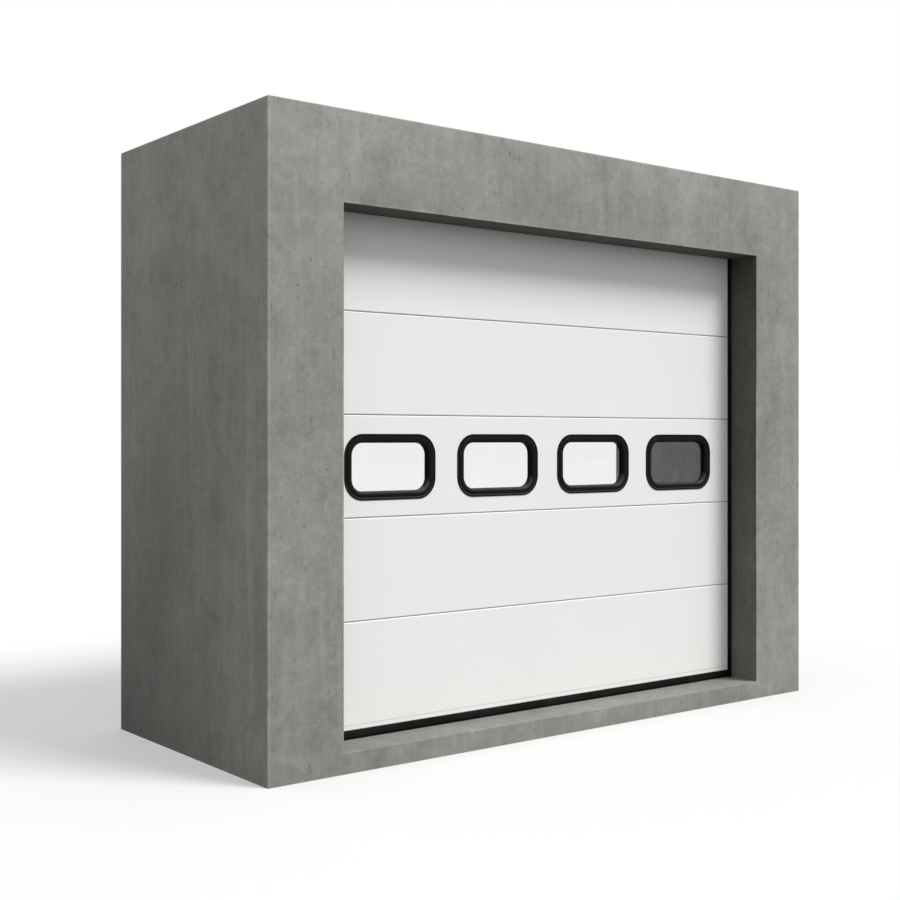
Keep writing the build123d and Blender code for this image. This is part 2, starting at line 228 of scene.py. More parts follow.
def group_tree(title, inputs, outputs):
    """An empty group of floats, with a vector where an input has no default."""
    tree = bpy.data.node_groups.new(title, "ShaderNodeTree")
    for name, default in inputs.items():
        kind = "NodeSocketVector" if default is None else "NodeSocketFloat"
        socket = tree.interface.new_socket(name=name, in_out="INPUT", socket_type=kind)
        if default is not None:
            socket.default_value = default
    for name in outputs:
        tree.interface.new_socket(name=name, in_out="OUTPUT", socket_type="NodeSocketFloat")
    entry = tree.nodes.new("NodeGroupInput")
    leave = tree.nodes.new("NodeGroupOutput")
    return tree, entry.outputs, leave.inputs


def grain_group(title):
    """Fine grain of a coated or moulded surface: a value for colour and roughness, and a height."""
    tree, entry, leave = group_tree(
        title, {"Vector": None, "Scale": 200.0, "Cloud Scale": 2.0}, ("Value", "Height")
    )
    fine = noise(tree, entry["Vector"], entry["Scale"], 2.0, 0.5)
    cloud = noise(tree, entry["Vector"], entry["Cloud Scale"], 4.0, 0.55)
    mixed = maths(tree, "ADD", times(tree, fine, 0.35), times(tree, cloud, 0.65))
    tree.links.new(mixed, leave["Value"])
    tree.links.new(fine, leave["Height"])


def ground_dust_group(title):
    """Mask of dust and splash that fades upwards from the ground, broken up by noise."""
    tree, entry, leave = group_tree(title, {"Vector": None, "Reach": 0.4, "Amount": 0.5}, ("Mask",))
    fade = fading(tree, axes(tree, entry["Vector"])["Z"], entry["Reach"])
    patch = noise(tree, entry["Vector"], 9.0, 5.0, 0.6)
    mask = times(tree, maths(tree, "POWER", fade, 2.0), scale_range(tree, patch, 0.3, 0.75))
    tree.links.new(maths(tree, "MULTIPLY", mask, entry["Amount"], clamp=True), leave["Mask"])


def pits_group(title):
    """Round air holes of cast surfaces: a mask, larger or missing from cell to cell."""
    tree, entry, leave = group_tree(
        title, {"Vector": None, "Scale": 8.0, "Radius": 0.03, "Share": 0.4}, ("Mask",)
    )
    cells = node(tree, "ShaderNodeTexVoronoi", {"Vector": entry["Vector"], "Scale": entry["Scale"]})
    random = node(tree, "ShaderNodeSeparateColor", {0: cells.outputs["Color"]}).outputs[0]
    present = maths(tree, "LESS_THAN", random, entry["Share"])
    size = times(tree, entry["Radius"], maths(tree, "ADD", 0.5, times(tree, random, 1.4)))
    inside = fading(tree, cells.outputs["Distance"], size)
    mask = times(tree, maths(tree, "MULTIPLY", inside, 3.0, clamp=True), present)
    tree.links.new(mask, leave["Mask"])


GROUPS = {"Fine grain": grain_group, "Ground dust": ground_dust_group, "Air holes": pits_group}


def use_group(tree, title, **inputs):
    """Adds a shared group, which is filled at its first use."""
    if title not in bpy.data.node_groups:
        GROUPS[title](title)
    made = node(tree, "ShaderNodeGroup", node_tree=bpy.data.node_groups[title])
    for name, value in inputs.items():
        feed(tree, made.inputs[name.replace("_", " ")], value)
    return made.outputs


def grained(tree, spot, scale, cloud_scale):
    return use_group(tree, "Fine grain", Vector=spot, Scale=scale, Cloud_Scale=cloud_scale)


def by_grain(tree, grain, low, high):
    """Spreads the grain's value over a range of roughness, shade or strength."""
    return scale_range(tree, grain["Value"], 0.3, 0.7, low, high)


def two_tone(tree, value, low, high, first, second):
    """Blends from one colour to another one over a span of the value."""
    return blend_colour(tree, scale_range(tree, value, low, high), first, second)


def air_holes(tree, spot, scale, radius, share):
    return use_group(tree, "Air holes", Vector=spot, Scale=scale, Radius=radius, Share=share)["Mask"]


def dusted(tree, spot, colour, dust, reach, amount):
    """Lays dust over the foot of a surface."""
    mask = use_group(tree, "Ground dust", Vector=spot, Reach=reach, Amount=amount)["Mask"]
    return blend_colour(tree, mask, colour, dust)


# Finishes


# Noises of the cast concrete: name, stretch, scale, detail, roughness, distortion, weight in the tone
CONCRETE_LAYERS = (
    ("cloud", None, 0.9, 6.0, 0.58, 0.3, 0.85),
    ("patch", None, 3.6, 7.0, 0.62, 0.5, 1.05),
    ("mottle", None, 12.0, 6.0, 0.66, 0.6, 0.85),
    ("speck", None, 42.0, 4.0, 0.65, 0.0, 0.6),
    ("sand", None, 210.0, 2.0, 0.6, 0.0, 0.75),
    ("streak", (4.6, 4.6, 0.42), 1.3, 5.0, 0.6, 0.0, 0.5),
    ("fine_streak", (16.0, 16.0, 0.9), 1.6, 4.0, 0.6, 0.0, 0.4),
)
# Smudges, lime bloom and dark ticks: stretch, noise, span of the mask, strength, colour
CONCRETE_MARKS = (
    (None, (5.5, 8.0, 0.72, 0.8), (0.57, 0.74), 0.26, (0.11, 0.112, 0.1)),
    ((9.0, 9.0, 0.8), (1.0, 6.0, 0.62, 0.4), (0.6, 0.78), 0.45, (0.42, 0.425, 0.4)),
    ((46.0, 46.0, 13.0), (1.0, 3.0, 0.6), (0.645, 0.74), 0.5, (0.08, 0.08, 0.073)),
)
PIT_SHADOW = (0.035, 0.035, 0.032)
CONCRETE_DUST = (0.16, 0.155, 0.14)
# Wear and painted highlight on the concrete's arrises
ARRIS_WEAR_AND_HIGHLIGHT = (0.46, 0.465, 0.44)
# Painted shade on the faces inside the opening, at the foot and at the head of the reveal
REVEAL_SHADE_FOOT = (0.49, 0.49, 0.47)
REVEAL_SHADE_HEAD = (0.27, 0.27, 0.255)
# Darker tone on the threshold's top in front of the leaf
THRESHOLD_DARK = (0.1, 0.1, 0.092)
LEAF_DUST = (0.5, 0.48, 0.43)
# Grime and painted shade on the lower edge of each leaf section
JOINT_GRIME_AND_SHADE = (0.34, 0.34, 0.33)
RAIL_DUST = (0.45, 0.43, 0.39)
# Dust and painted highlight on the up-facing slopes of the window frames
LEDGE_DUST_AND_HIGHLIGHT = (0.06, 0.06, 0.058)
SEAL_DUST = (0.09, 0.085, 0.075)
# Painted shade at the foot of the seals
SEAL_FOOT_SHADE = (0.001, 0.001, 0.001)
DULL_ZINC = (0.42, 0.42, 0.41)

# Reach of the wear and painted highlight on an arris, as a multiple of the arris, and from the middle
# of a jamb in metres
ARRIS_MARK_REACH = 1.9
JAMB_MARK_SPAN = 0.5


def set_surface(tree, colour, roughness, relief=None, **fixed):
    """Feeds the shader; the relief is a height with the distance and the strength of its bump."""
    shader = tree.nodes["Principled BSDF"]
    feed(tree, shader.inputs["Base Color"], colour)
    feed(tree, shader.inputs["Roughness"], roughness)
    if relief is not None:
        inputs = dict(zip(("Height", "Distance", "Strength"), relief))
        feed(tree, shader.inputs["Normal"], node(tree, "ShaderNodeBump", inputs).outputs[0])
    for name, value in fixed.items():
        shader.inputs[name.replace("_", " ")].default_value = value


def near_plane(tree, value, plane, reach):
    """Falls from one on a plane to nothing at the reach from it."""
    return fading(tree, maths(tree, "ABSOLUTE", maths(tree, "SUBTRACT", value, plane)), reach)


def opening_faces():
    """Half width of the opening, back of the front wall, height of the floor and of the soffit."""
    pier_low, pier_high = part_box("right_front_pier")
    return pier_low[0], pier_high[1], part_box("floor_slab")[1][2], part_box("front_lintel")[0][2]


def arris_wear_and_highlight_mask(tree, spot, arris):
    """Mask of the casting's outer arrises and of those round the opening, for their wear and painted
    highlight.
    """
    slab_low, slab_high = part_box("floor_slab")
    open_x, _, floor_z, soffit_z = opening_faces()
    roof_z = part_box("roof_slab")[1][2]
    parts = axes(tree, spot)
    across_x = maths(tree, "ABSOLUTE", parts["X"])
    reach = arris * ARRIS_MARK_REACH
    side = near_plane(tree, across_x, slab_high[0], reach)
    front = near_plane(tree, parts["Y"], slab_low[1], reach)
    top = times(tree, near_plane(tree, parts["Z"], roof_z, reach), 0.35)
    midway = maths(tree, "COMPARE", parts["Z"], (floor_z + soffit_z) / 2)
    midway.node.inputs[2].default_value = JAMB_MARK_SPAN
    jamb = times(tree, near_plane(tree, across_x, open_x, reach), midway)
    within = maths(tree, "LESS_THAN", across_x, open_x + arris)
    head = times(tree, near_plane(tree, parts["Z"], soffit_z, reach), within)
    edges = times(tree, side, front)
    for first, second in ((side, top), (front, top), (front, jamb), (front, head)):
        edges = maths(tree, "MAXIMUM", edges, times(tree, first, second))
    return edges


def opening_reveal(tree, spot):
    """Mask of the faces inside the opening, where shade is painted, and how high up them a point lies.
    """
    open_x, wall_y, floor_z, soffit_z = opening_faces()
    parts = axes(tree, spot)
    across_x = maths(tree, "ABSOLUTE", parts["X"])
    skin = 0.0008
    within = maths(tree, "LESS_THAN", across_x, open_x + skin)
    below = maths(tree, "LESS_THAN", parts["Z"], soffit_z + skin)
    above = maths(tree, "GREATER_THAN", parts["Z"], floor_z + 0.002)
    before = maths(tree, "LESS_THAN", parts["Y"], wall_y - 0.0005)
    mask = times(tree, within, below, above, before)
    return mask, scale_range(tree, parts["Z"], floor_z, soffit_z)


def threshold_top_mask(tree, spot):
    """Mask of the threshold's top in front of the leaf, which is made darker."""
    open_x, wall_y, floor_z, _ = opening_faces()
    parts = axes(tree, spot)
    before = maths(tree, "LESS_THAN", parts["Y"], wall_y)
    between = maths(tree, "LESS_THAN", maths(tree, "ABSOLUTE", parts["X"]), open_x)
    return times(tree, near_plane(tree, parts["Z"], floor_z, 0.003), before, between)


# Each finish takes the tree, the place on the piece and the colours that a user sets


def fair_faced_concrete(tree, spot, colours):
    layers = {}
    tone = 0.0
    for name, stretch, *settings, weight in CONCRETE_LAYERS:
        layers[name] = noise(tree, stretched(tree, spot, stretch), *settings)
        part = times(tree, maths(tree, "SUBTRACT", layers[name], 0.5), weight)
        tone = maths(tree, "ADD", tone, part)
    tone = maths(tree, "ADD", tone, 0.55, clamp=True)
    colour = blend_colour(tree, tone, colours.concrete_dark, colours.concrete_light)
    for stretch, settings, span, strength, mark in CONCRETE_MARKS:
        layer = noise(tree, stretched(tree, spot, stretch), *settings)
        colour = blend_colour(tree, scale_range(tree, layer, *span, 0.0, strength), colour, mark)
    patch = layers["patch"]
    small = air_holes(tree, spot, scale=24.0, radius=0.12, share=0.55)
    small = times(tree, small, scale_range(tree, patch, 0.38, 0.6, 0.0, 0.7))
    large = air_holes(tree, spot, scale=8.0, radius=0.06, share=0.4)
    pits = maths(tree, "MAXIMUM", small, large)
    colour = blend_colour(tree, times(tree, pits, 0.72), colour, PIT_SHADOW)
    colour = dusted(tree, spot, colour, CONCRETE_DUST, reach=0.35, amount=0.3)
    # Wear and painted highlight: the arrises are made lighter, more where the mottle is light
    lit_worn_edges = arris_wear_and_highlight_mask(tree, spot, bpy.context.scene.door_sizes.arris)
    lit_worn_edges = times(tree, lit_worn_edges, scale_range(tree, layers["mottle"], 0.35, 0.6, 0.2, 0.8))
    colour = blend_colour(tree, lit_worn_edges, colour, ARRIS_WEAR_AND_HIGHLIGHT)
    # Painted shade inside the opening: the reveal and soffit are darkened, more towards the soffit
    reveal_faces, up = opening_reveal(tree, spot)
    reveal_shade = blend_colour(tree, up, REVEAL_SHADE_FOOT, REVEAL_SHADE_HEAD)
    colour = blend_colour(tree, reveal_faces, colour, blend_colour(tree, 1.0, colour, reveal_shade, "MULTIPLY"))
    # The threshold's top in front of the leaf is made darker
    colour = blend_colour(tree, times(tree, threshold_top_mask(tree, spot), 0.3), colour, THRESHOLD_DARK)
    fine = maths(
        tree, "ADD", times(tree, layers["speck"], 0.35), times(tree, layers["sand"], 0.2)
    )
    height = maths(tree, "ADD", fine, times(tree, patch, 0.6))
    height = maths(tree, "SUBTRACT", height, times(tree, pits, 1.6))
    rough = scale_range(tree, patch, 0.3, 0.7, 0.72, 0.9)
    set_surface(tree, colour, rough, (height, 0.0016, 0.7), Specular_IOR_Level=0.3)


def shaded(tree, colour, shade):
    """Makes a colour a little lighter or darker from place to place."""
    return node(
        tree, "ShaderNodeVectorMath", {0: colour, "Scale": shade}, operation="SCALE"
    ).outputs[0]


def white_coat(tree, spot, colours):
    grain = grained(tree, spot, 260.0, 1.4)
    low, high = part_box("leaf_section_1")
    parts = axes(tree, spot)
    inside = maths(tree, "GREATER_THAN", parts["Y"], (low[1] + high[1]) / 2)
    face = blend_colour(tree, inside, colours.leaf, colours.leaf_inside)
    colour = shaded(tree, face, by_grain(tree, grain, 0.985, 1.01))
    colour = dusted(tree, spot, colour, LEAF_DUST, reach=0.5, amount=0.22)
    # Grime and painted shade along the lower edge of each section, just above the joint below it
    joint_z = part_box("leaf_section_2")[0][2]
    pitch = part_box("leaf_section_3")[0][2] - joint_z
    above = maths(tree, "DIVIDE", maths(tree, "SUBTRACT", parts["Z"], joint_z), pitch)
    above = maths(tree, "FRACT", above)
    joint_shade = scale_range(tree, above, 0.0, 0.014, 0.45, 0.0)
    colour = blend_colour(tree, joint_shade, colour, JOINT_GRIME_AND_SHADE)
    emboss = noise(tree, spot, 120.0, 2.0, 0.4, 0.8)
    fine = times(tree, grain["Height"], 0.06)
    height = maths(tree, "ADD", fine, times(tree, emboss, inside))
    set_surface(
        tree, colour, by_grain(tree, grain, 0.42, 0.5), (height, 0.0006, 0.6),
        Specular_IOR_Level=0.4,
    )


def white_aluminium(tree, spot, colours):
    grain = grained(tree, spot, 400.0, 3.0)
    colour = shaded(tree, tuple(colours.leaf), by_grain(tree, grain, 0.97, 1.01))
    colour = dusted(tree, spot, colour, RAIL_DUST, reach=0.3, amount=0.25)
    rough = by_grain(tree, grain, 0.3, 0.38)
    set_surface(tree, colour, rough, (grain["Height"], 0.0001, 0.4))


def gloss_moulding(tree, spot, colours):
    grain = grained(tree, spot, 900.0, 12.0)
    colour = two_tone(tree, grain["Value"], 0.35, 0.7, colours.window_frame, (0.013, 0.013, 0.0125))
    low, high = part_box("window_frames")
    # Dust and painted highlight: the up-facing slopes in the lower half of each frame are made lighter
    facing_up = axes(tree, node(tree, "ShaderNodeTexCoord").outputs["Normal"])["Z"]
    foot = maths(tree, "LESS_THAN", axes(tree, spot)["Z"], (low[2] + high[2]) / 2)
    ledge_dust_and_sheen = times(
        tree, foot, scale_range(tree, facing_up, 0.03, 0.25), by_grain(tree, grain, 0.6, 1.0)
    )
    colour = blend_colour(tree, ledge_dust_and_sheen, colour, LEDGE_DUST_AND_HIGHLIGHT)
    set_surface(
        tree, colour, by_grain(tree, grain, 0.1, 0.15),
        (grain["Height"], 0.00005, 0.4), Specular_IOR_Level=0.025,
    )


def clear_acrylic(tree, spot, colours):
    smear = noise(tree, stretched(tree, spot, (3.0, 3.0, 1.2)), 4.0, 4.0, 0.6)
    tint = two_tone(tree, smear, 0.35, 0.7, (0.855, 0.86, 0.85), (0.835, 0.84, 0.83))
    rough = scale_range(tree, smear, 0.4, 0.8, 0.0, 0.03)
    set_surface(tree, tint, rough, Transmission_Weight=1.0, IOR=1.3)


def seal_rubber(tree, spot, colours):
    grain = grained(tree, spot, 500.0, 6.0)
    colour = two_tone(tree, grain["Value"], 0.35, 0.7, colours.rubber, (0.02, 0.02, 0.019))
    colour = dusted(tree, spot, colour, SEAL_DUST, reach=0.18, amount=0.15)
    # Painted shade: the seals turn darker towards the floor, over the lower part of the bottom seal's
    # height
    low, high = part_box("bottom_seal")
    foot_shade_top = low[2] + (high[2] - low[2]) * 0.7
    foot_shade = scale_range(tree, axes(tree, spot)["Z"], low[2], foot_shade_top, 1.0, 0.0)
    colour = blend_colour(tree, foot_shade, colour, SEAL_FOOT_SHADE)
    set_surface(
        tree, colour, by_grain(tree, grain, 0.5, 0.68),
        (grain["Height"], 0.0002, 0.6), Specular_IOR_Level=0.05,
    )


def galvanised_steel(tree, spot, colours):
    flakes = node(tree, "ShaderNodeTexVoronoi", {"Vector": spot, "Scale": 95.0})
    flake = node(tree, "ShaderNodeSeparateColor", {0: flakes.outputs["Color"]}).outputs[1]
    grain = grained(tree, spot, 300.0, 5.0)
    light = tuple(min(1.0, part * 1.16) for part in colours.zinc)
    spangle = scale_range(tree, flake, 0.0, 1.0, 0.25, 0.75)
    colour = blend_colour(tree, spangle, colours.zinc, light)
    dull = times(tree, scale_range(tree, grain["Value"], 0.6, 0.75), 0.25)
    colour = blend_colour(tree, dull, colour, DULL_ZINC)
    rough = scale_range(tree, flake, 0.0, 1.0, 0.34, 0.5)
    set_surface(tree, colour, rough, (grain["Height"], 0.00015, 0.5), Metallic=0.85)


def zinc_plated_steel(tree, spot, colours):
    brushed = noise(tree, stretched(tree, spot, (6.0, 220.0, 220.0)), 4.0, 3.0, 0.5)
    colour = two_tone(tree, brushed, 0.3, 0.7, (0.6, 0.6, 0.61), (0.72, 0.72, 0.72))
    rough = scale_range(tree, brushed, 0.3, 0.7, 0.24, 0.36)
    set_surface(tree, colour, rough, (brushed, 0.0001, 0.4), Metallic=0.95)


def dark_spring_steel(tree, spot, colours):
    grain = grained(tree, spot, 420.0, 7.0)
    colour = two_tone(tree, grain["Value"], 0.4, 0.7, (0.03, 0.03, 0.034), (0.075, 0.07, 0.066))
    rough = by_grain(tree, grain, 0.32, 0.5)
    set_surface(tree, colour, rough, (grain["Height"], 0.0001, 0.5), Metallic=0.6)


def cast_aluminium(tree, spot, colours):
    grain = grained(tree, spot, 350.0, 9.0)
    colour = two_tone(tree, grain["Value"], 0.3, 0.7, (0.6, 0.6, 0.6), (0.72, 0.72, 0.71))
    pits = air_holes(tree, spot, scale=160.0, radius=0.12, share=0.3)
    height = maths(tree, "SUBTRACT", grain["Height"], pits)
    rough = by_grain(tree, grain, 0.38, 0.52)
    set_surface(tree, colour, rough, (height, 0.0003, 0.6), Metallic=0.9)


def roller_nylon(tree, spot, colours):
    grain = grained(tree, spot, 600.0, 20.0)
    colour = two_tone(tree, grain["Value"], 0.4, 0.75, colours.nylon, (0.6, 0.58, 0.54))
    set_surface(
        tree, colour, by_grain(tree, grain, 0.38, 0.5),
        (grain["Height"], 0.0001, 0.4), Subsurface_Weight=0.1,
    )


def wire_rope(tree, spot, colours):
    strands = node(
        tree, "ShaderNodeTexWave", {"Vector": spot, "Scale": 90.0, "Distortion": 1.0},
        bands_direction="Z",
    ).outputs[1]
    colour = two_tone(tree, strands, 0.2, 0.8, (0.28, 0.28, 0.28), (0.6, 0.6, 0.6))
    set_surface(tree, colour, 0.4, (strands, 0.0006, 0.8), Metallic=0.9)


FINISHES = {
    "concrete": fair_faced_concrete,
    "leaf_white": white_coat,
    "rail_white": white_aluminium,
    "frame_black": gloss_moulding,
    "pane_clear": clear_acrylic,
    "seal_black": seal_rubber,
    "steel_galvanised": galvanised_steel,
    "shaft_steel": zinc_plated_steel,
    "spring_steel": dark_spring_steel,
    "drum_aluminium": cast_aluminium,
    "wheel_nylon": roller_nylon,
    "cable_steel": wire_rope,
}


def get_finish(slot_name):
    """The material of a slot, which is made at its first use."""
    maker = FINISHES[slot_name]
    if maker.__name__ not in bpy.data.materials:
        material = bpy.data.materials.new(maker.__name__)
        material.use_nodes = True
        tree = material.node_tree
        spot = node(tree, "ShaderNodeTexCoord").outputs["Object"]
        maker(tree, spot, bpy.context.scene.door_colours)
    return bpy.data.materials[maker.__name__]


# Helpers for pieces


def dress(slot_name, *names):
    """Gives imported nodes, which keep their meshes, their finish."""
    for name in names:
        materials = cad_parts[name].data.materials
        materials.clear()
        materials.append(get_finish(slot_name))


def add_object(name, data):
    made = bpy.data.objects.new(name, data)
    bpy.context.scene.collection.objects.link(made)
    return made


def new_piece(name, bm, slot_name, replaced=(), smooth_angle=30):
    """Makes a piece from a bmesh in the row frame, gives it its finish and lets it ride on the body."""
    bmesh.ops.remove_doubles(bm, verts=bm.verts, dist=0.00002)
    bmesh.ops.recalc_face_normals(bm, faces=bm.faces)
    mesh = bpy.data.meshes.new(name)
    bm.to_mesh(mesh)
    bm.free()
    piece = add_object(name, mesh)
    mesh.materials.append(get_finish(slot_name))
    mesh.shade_smooth()
    mesh.set_sharp_from_angle(angle=math.radians(smooth_angle))
    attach(piece, "root")
    if replaced:
        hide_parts(*replaced)
    return piece


def box_of(node_name):
    low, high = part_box(node_name)
    return Vector(low), Vector(high)


def vertices_of(node_name):
    """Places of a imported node's vertices."""
    return [vertex.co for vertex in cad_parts[node_name].data.vertices]


def only(parts, kind):
    return [part for part in parts if isinstance(part, kind)]


def spin_profile(bm, points, centre, side, steps):
    """Turns a profile of (x, radius) points, mirrored on the left side, round an axis along X."""
    verts = [
        bm.verts.new((centre.x + side * x, centre.y, centre.z + radius)) for x, radius in points
    ]
    edges = [bm.edges.new(pair) for pair in zip(verts, verts[1:])]
    bmesh.ops.spin(
        bm, geom=verts + edges, cent=centre, axis=(1, 0, 0), dvec=(0, 0, 0),
        angle=math.tau, steps=steps, use_merge=True, use_duplicate=False,
    )


def sweep_window(bm, profile, centre, width, height, radius, steps=10):
    """Carries a closed profile of (inset, y) points once round a rounded window shape."""
    start_x = centre.x - width / 2 + radius
    top = centre.z + height / 2
    verts = [bm.verts.new((start_x, y, top - inset)) for inset, y in profile]
    edges = [bm.edges.new(pair) for pair in zip(verts, verts[1:] + verts[:1])]
    half_w = width / 2 - radius
    half_h = height / 2 - radius
    runs = (
        (Vector((2 * half_w, 0, 0)), Vector((half_w, 0, half_h))),
        (Vector((0, 0, -2 * half_h)), Vector((half_w, 0, -half_h))),
        (Vector((-2 * half_w, 0, 0)), Vector((-half_w, 0, -half_h))),
        (Vector((0, 0, 2 * half_h)), Vector((-half_w, 0, half_h))),
    )
    for step, corner in runs:
        grown = bmesh.ops.extrude_edge_only(bm, edges=edges)["geom"]
        moved = only(grown, bmesh.types.BMVert)
        edges = only(grown, bmesh.types.BMEdge)
        edges = [edge for edge in edges if all(vert in moved for vert in edge.verts)]
        bmesh.ops.translate(bm, verts=moved, vec=step)
        turned = bmesh.ops.spin(
            bm, geom=moved + edges, cent=centre + corner, axis=(0, 1, 0), dvec=(0, 0, 0),
            angle=math.radians(90), steps=steps, use_merge=False, use_duplicate=False,
        )["geom_last"]
        edges = only(turned, bmesh.types.BMEdge)


def window_spots():
    """Centres of the windows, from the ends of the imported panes."""
    xs = sorted(spot.x for spot in vertices_of("window_panes"))
    gap = 0.1
    ends = [xs[0]]
    for near, far in zip(xs, xs[1:]):
        if far - near > gap:
            ends += [near, far]
    ends.append(xs[-1])
    low, high = box_of("window_panes")
    middle_z = (low.z + high.z) / 2
    return [Vector(((ends[i] + ends[i + 3]) / 2, 0, middle_z)) for i in range(0, len(ends), 4)]


# Concrete


# How near a vertex lies to a plane to count as on it, for picking edges and for picking faces
ON_EDGE = 0.001
ON_FACE = 0.0005
# Distance within which cuts and doubled vertices merge
MERGE = 0.0001


def on_plane(part, axis, value, near):
    return all(abs(vert.co[axis] - value) < near for vert in part.verts)


class DOOR_OT_concrete_shell(bpy.types.Operator):
    """Casts the hollow concrete front in one piece, with rounded arrises"""

    bl_idname = "door.concrete_shell"
    bl_label = "Concrete shell"

    def execute(self, context):
        sizes = context.scene.door_sizes
        low, slab_high = box_of("floor_slab")
        roof_low, roof_high = box_of("roof_slab")
        pier_low, pier_high = box_of("right_front_pier")
        wall = vertices_of("right_side_wall")
        wall_y = pier_high.y
        back_y = slab_high.y
        floor_z = slab_high.z
        front_x = min(spot.x for spot in wall if spot.y < wall_y + 0.01)
        rear_x = min(spot.x for spot in wall if spot.y > back_y - 0.05)
        high = Vector((slab_high.x, slab_high.y, roof_high.z))
        bm = bmesh.new()
        block = Matrix.Translation((low + high) / 2) @ Matrix.Diagonal((*(high - low), 1.0))
        bmesh.ops.create_cube(bm, size=1.0, matrix=block)
        self.hollow(bm, front_x, rear_x, floor_z, roof_low.z, wall_y)
        self.cut_opening(bm, pier_low.x, floor_z, box_of("front_lintel")[0].z, low.y, wall_y)
        bmesh.ops.remove_doubles(bm, verts=bm.verts, dist=MERGE)
        bmesh.ops.recalc_face_normals(bm, faces=bm.faces)
        if any(not edge.is_manifold for edge in bm.edges):
            raise RuntimeError("The concrete shell isn't closed")
        mouth = [
            edge for edge in bm.edges
            if on_plane(edge, 1, back_y, ON_EDGE)
            and all(abs(vert.co.x) < rear_x + ON_EDGE for vert in edge.verts)
            and all(floor_z - ON_EDGE < vert.co.z < roof_low.z + ON_EDGE for vert in edge.verts)
        ]
        self.round_edges(bm, mouth, sizes.inner_arris, 1)
        sharp = 1.0
        arrises = [
            edge for edge in bm.edges
            if edge.calc_face_angle_signed(0) > sharp
            and not on_plane(edge, 2, low.z, ON_EDGE)
            and not on_plane(edge, 1, wall_y, ON_EDGE)
        ]
        self.round_edges(bm, arrises, sizes.arris, 3)
        new_piece(
            "concrete_shell", bm, "concrete",
            ("floor_slab", "roof_slab", "left_side_wall", "right_side_wall",
             "left_front_pier", "right_front_pier", "front_lintel"),
            smooth_angle=50,
        )
        return {"FINISHED"}

    def round_edges(self, bm, edges, offset, segments):
        bmesh.ops.bevel(
            bm, geom=edges, offset=offset, offset_type="OFFSET", segments=segments,
            profile=0.5, affect="EDGES", material=-1, clamp_overlap=True,
        )

    def hollow(self, bm, front_x, rear_x, floor_z, roof_z, wall_y):
        """Sinks the back face into the block, as far as the front wall and a little narrower there."""
        back = max(bm.faces, key=lambda face: face.calc_center_median().y)
        first_inset = 0.02
        bmesh.ops.inset_individual(bm, faces=[back], thickness=first_inset)
        middle_z = (floor_z + roof_z) / 2
        for vert in back.verts:
            vert.co.x = math.copysign(rear_x, vert.co.x)
            vert.co.z = roof_z if vert.co.z > middle_z else floor_z
        inner = bmesh.ops.extrude_discrete_faces(bm, faces=[back])["faces"][0]
        for vert in inner.verts:
            vert.co.x = math.copysign(front_x, vert.co.x)
            vert.co.y = wall_y

    def cut_opening(self, bm, open_x, floor_z, soffit_z, front_y, wall_y):
        """Cuts the opening into both faces of the front wall and joins the two holes."""
        cuts = (
            ((-open_x, 0, 0), (1, 0, 0)), ((open_x, 0, 0), (1, 0, 0)),
            ((0, 0, soffit_z), (0, 0, 1)), ((0, 0, floor_z), (0, 0, 1)),
        )
        for plane_y in (front_y, wall_y):
            for cut_at, normal in cuts:
                faces = [face for face in bm.faces if on_plane(face, 1, plane_y, ON_FACE)]
                parts = set(faces)
                for face in faces:
                    parts.update(face.edges)
                    parts.update(face.verts)
                bmesh.ops.bisect_plane(
                    bm, geom=list(parts), plane_co=cut_at, plane_no=normal, dist=MERGE
                )
        holes = []
        for plane_y in (front_y, wall_y):
            for face in bm.faces:
                spot = face.calc_center_median()
                inside = abs(spot.x) < open_x and floor_z < spot.z < soffit_z
                if inside and on_plane(face, 1, plane_y, ON_FACE):
                    holes.append(face)
        if len(holes) != 2:
            raise RuntimeError("The opening wasn't found in both faces of the front wall")
        outer, inner = holes
        bmesh.ops.delete(bm, geom=[inner], context="FACES_ONLY")
        tunnel = bmesh.ops.extrude_discrete_faces(bm, faces=[outer])["faces"][0]
        bmesh.ops.translate(bm, verts=tunnel.verts, vec=(0, wall_y - front_y, 0))
        bmesh.ops.delete(bm, geom=[tunnel], context="FACES_ONLY")


# Leaf


class DOOR_OT_leaf_sections(bpy.types.Operator):
    """Coats the five sandwich sections and the aluminium bottom rail"""

    bl_idname = "door.leaf_sections"
    bl_label = "Leaf sections"

    def execute(self, context):
        dress("leaf_white", *(f"leaf_section_{index}" for index in range(1, 6)))
        dress("rail_white", "bottom_rail")
        dress("steel_galvanised", "left_end_caps", "right_end_caps")
        return {"FINISHED"}


# Edge of a window frame's stepped front: inset in metres, height as a share of the rise
FRAME_EDGE = ((0.0, 0.0), (0.0, 0.36), (0.0014, 0.52), (0.0035, 0.58))
# The rest of that front: inset as a share of the band, height as a share of the rise
FRAME_STEPS = (
    (0.26, 0.60), (0.29, 0.46), (0.32, 0.46), (0.35, 0.74), (0.39, 0.94), (0.45, 1.0),
    (0.66, 1.0), (0.76, 0.95), (0.85, 0.80), (0.92, 0.55), (0.97, 0.2),
)
# Width of the sleeve that holds the pane, and the bead of the frame before it
SLEEVE = 0.012
BEAD = 0.0015


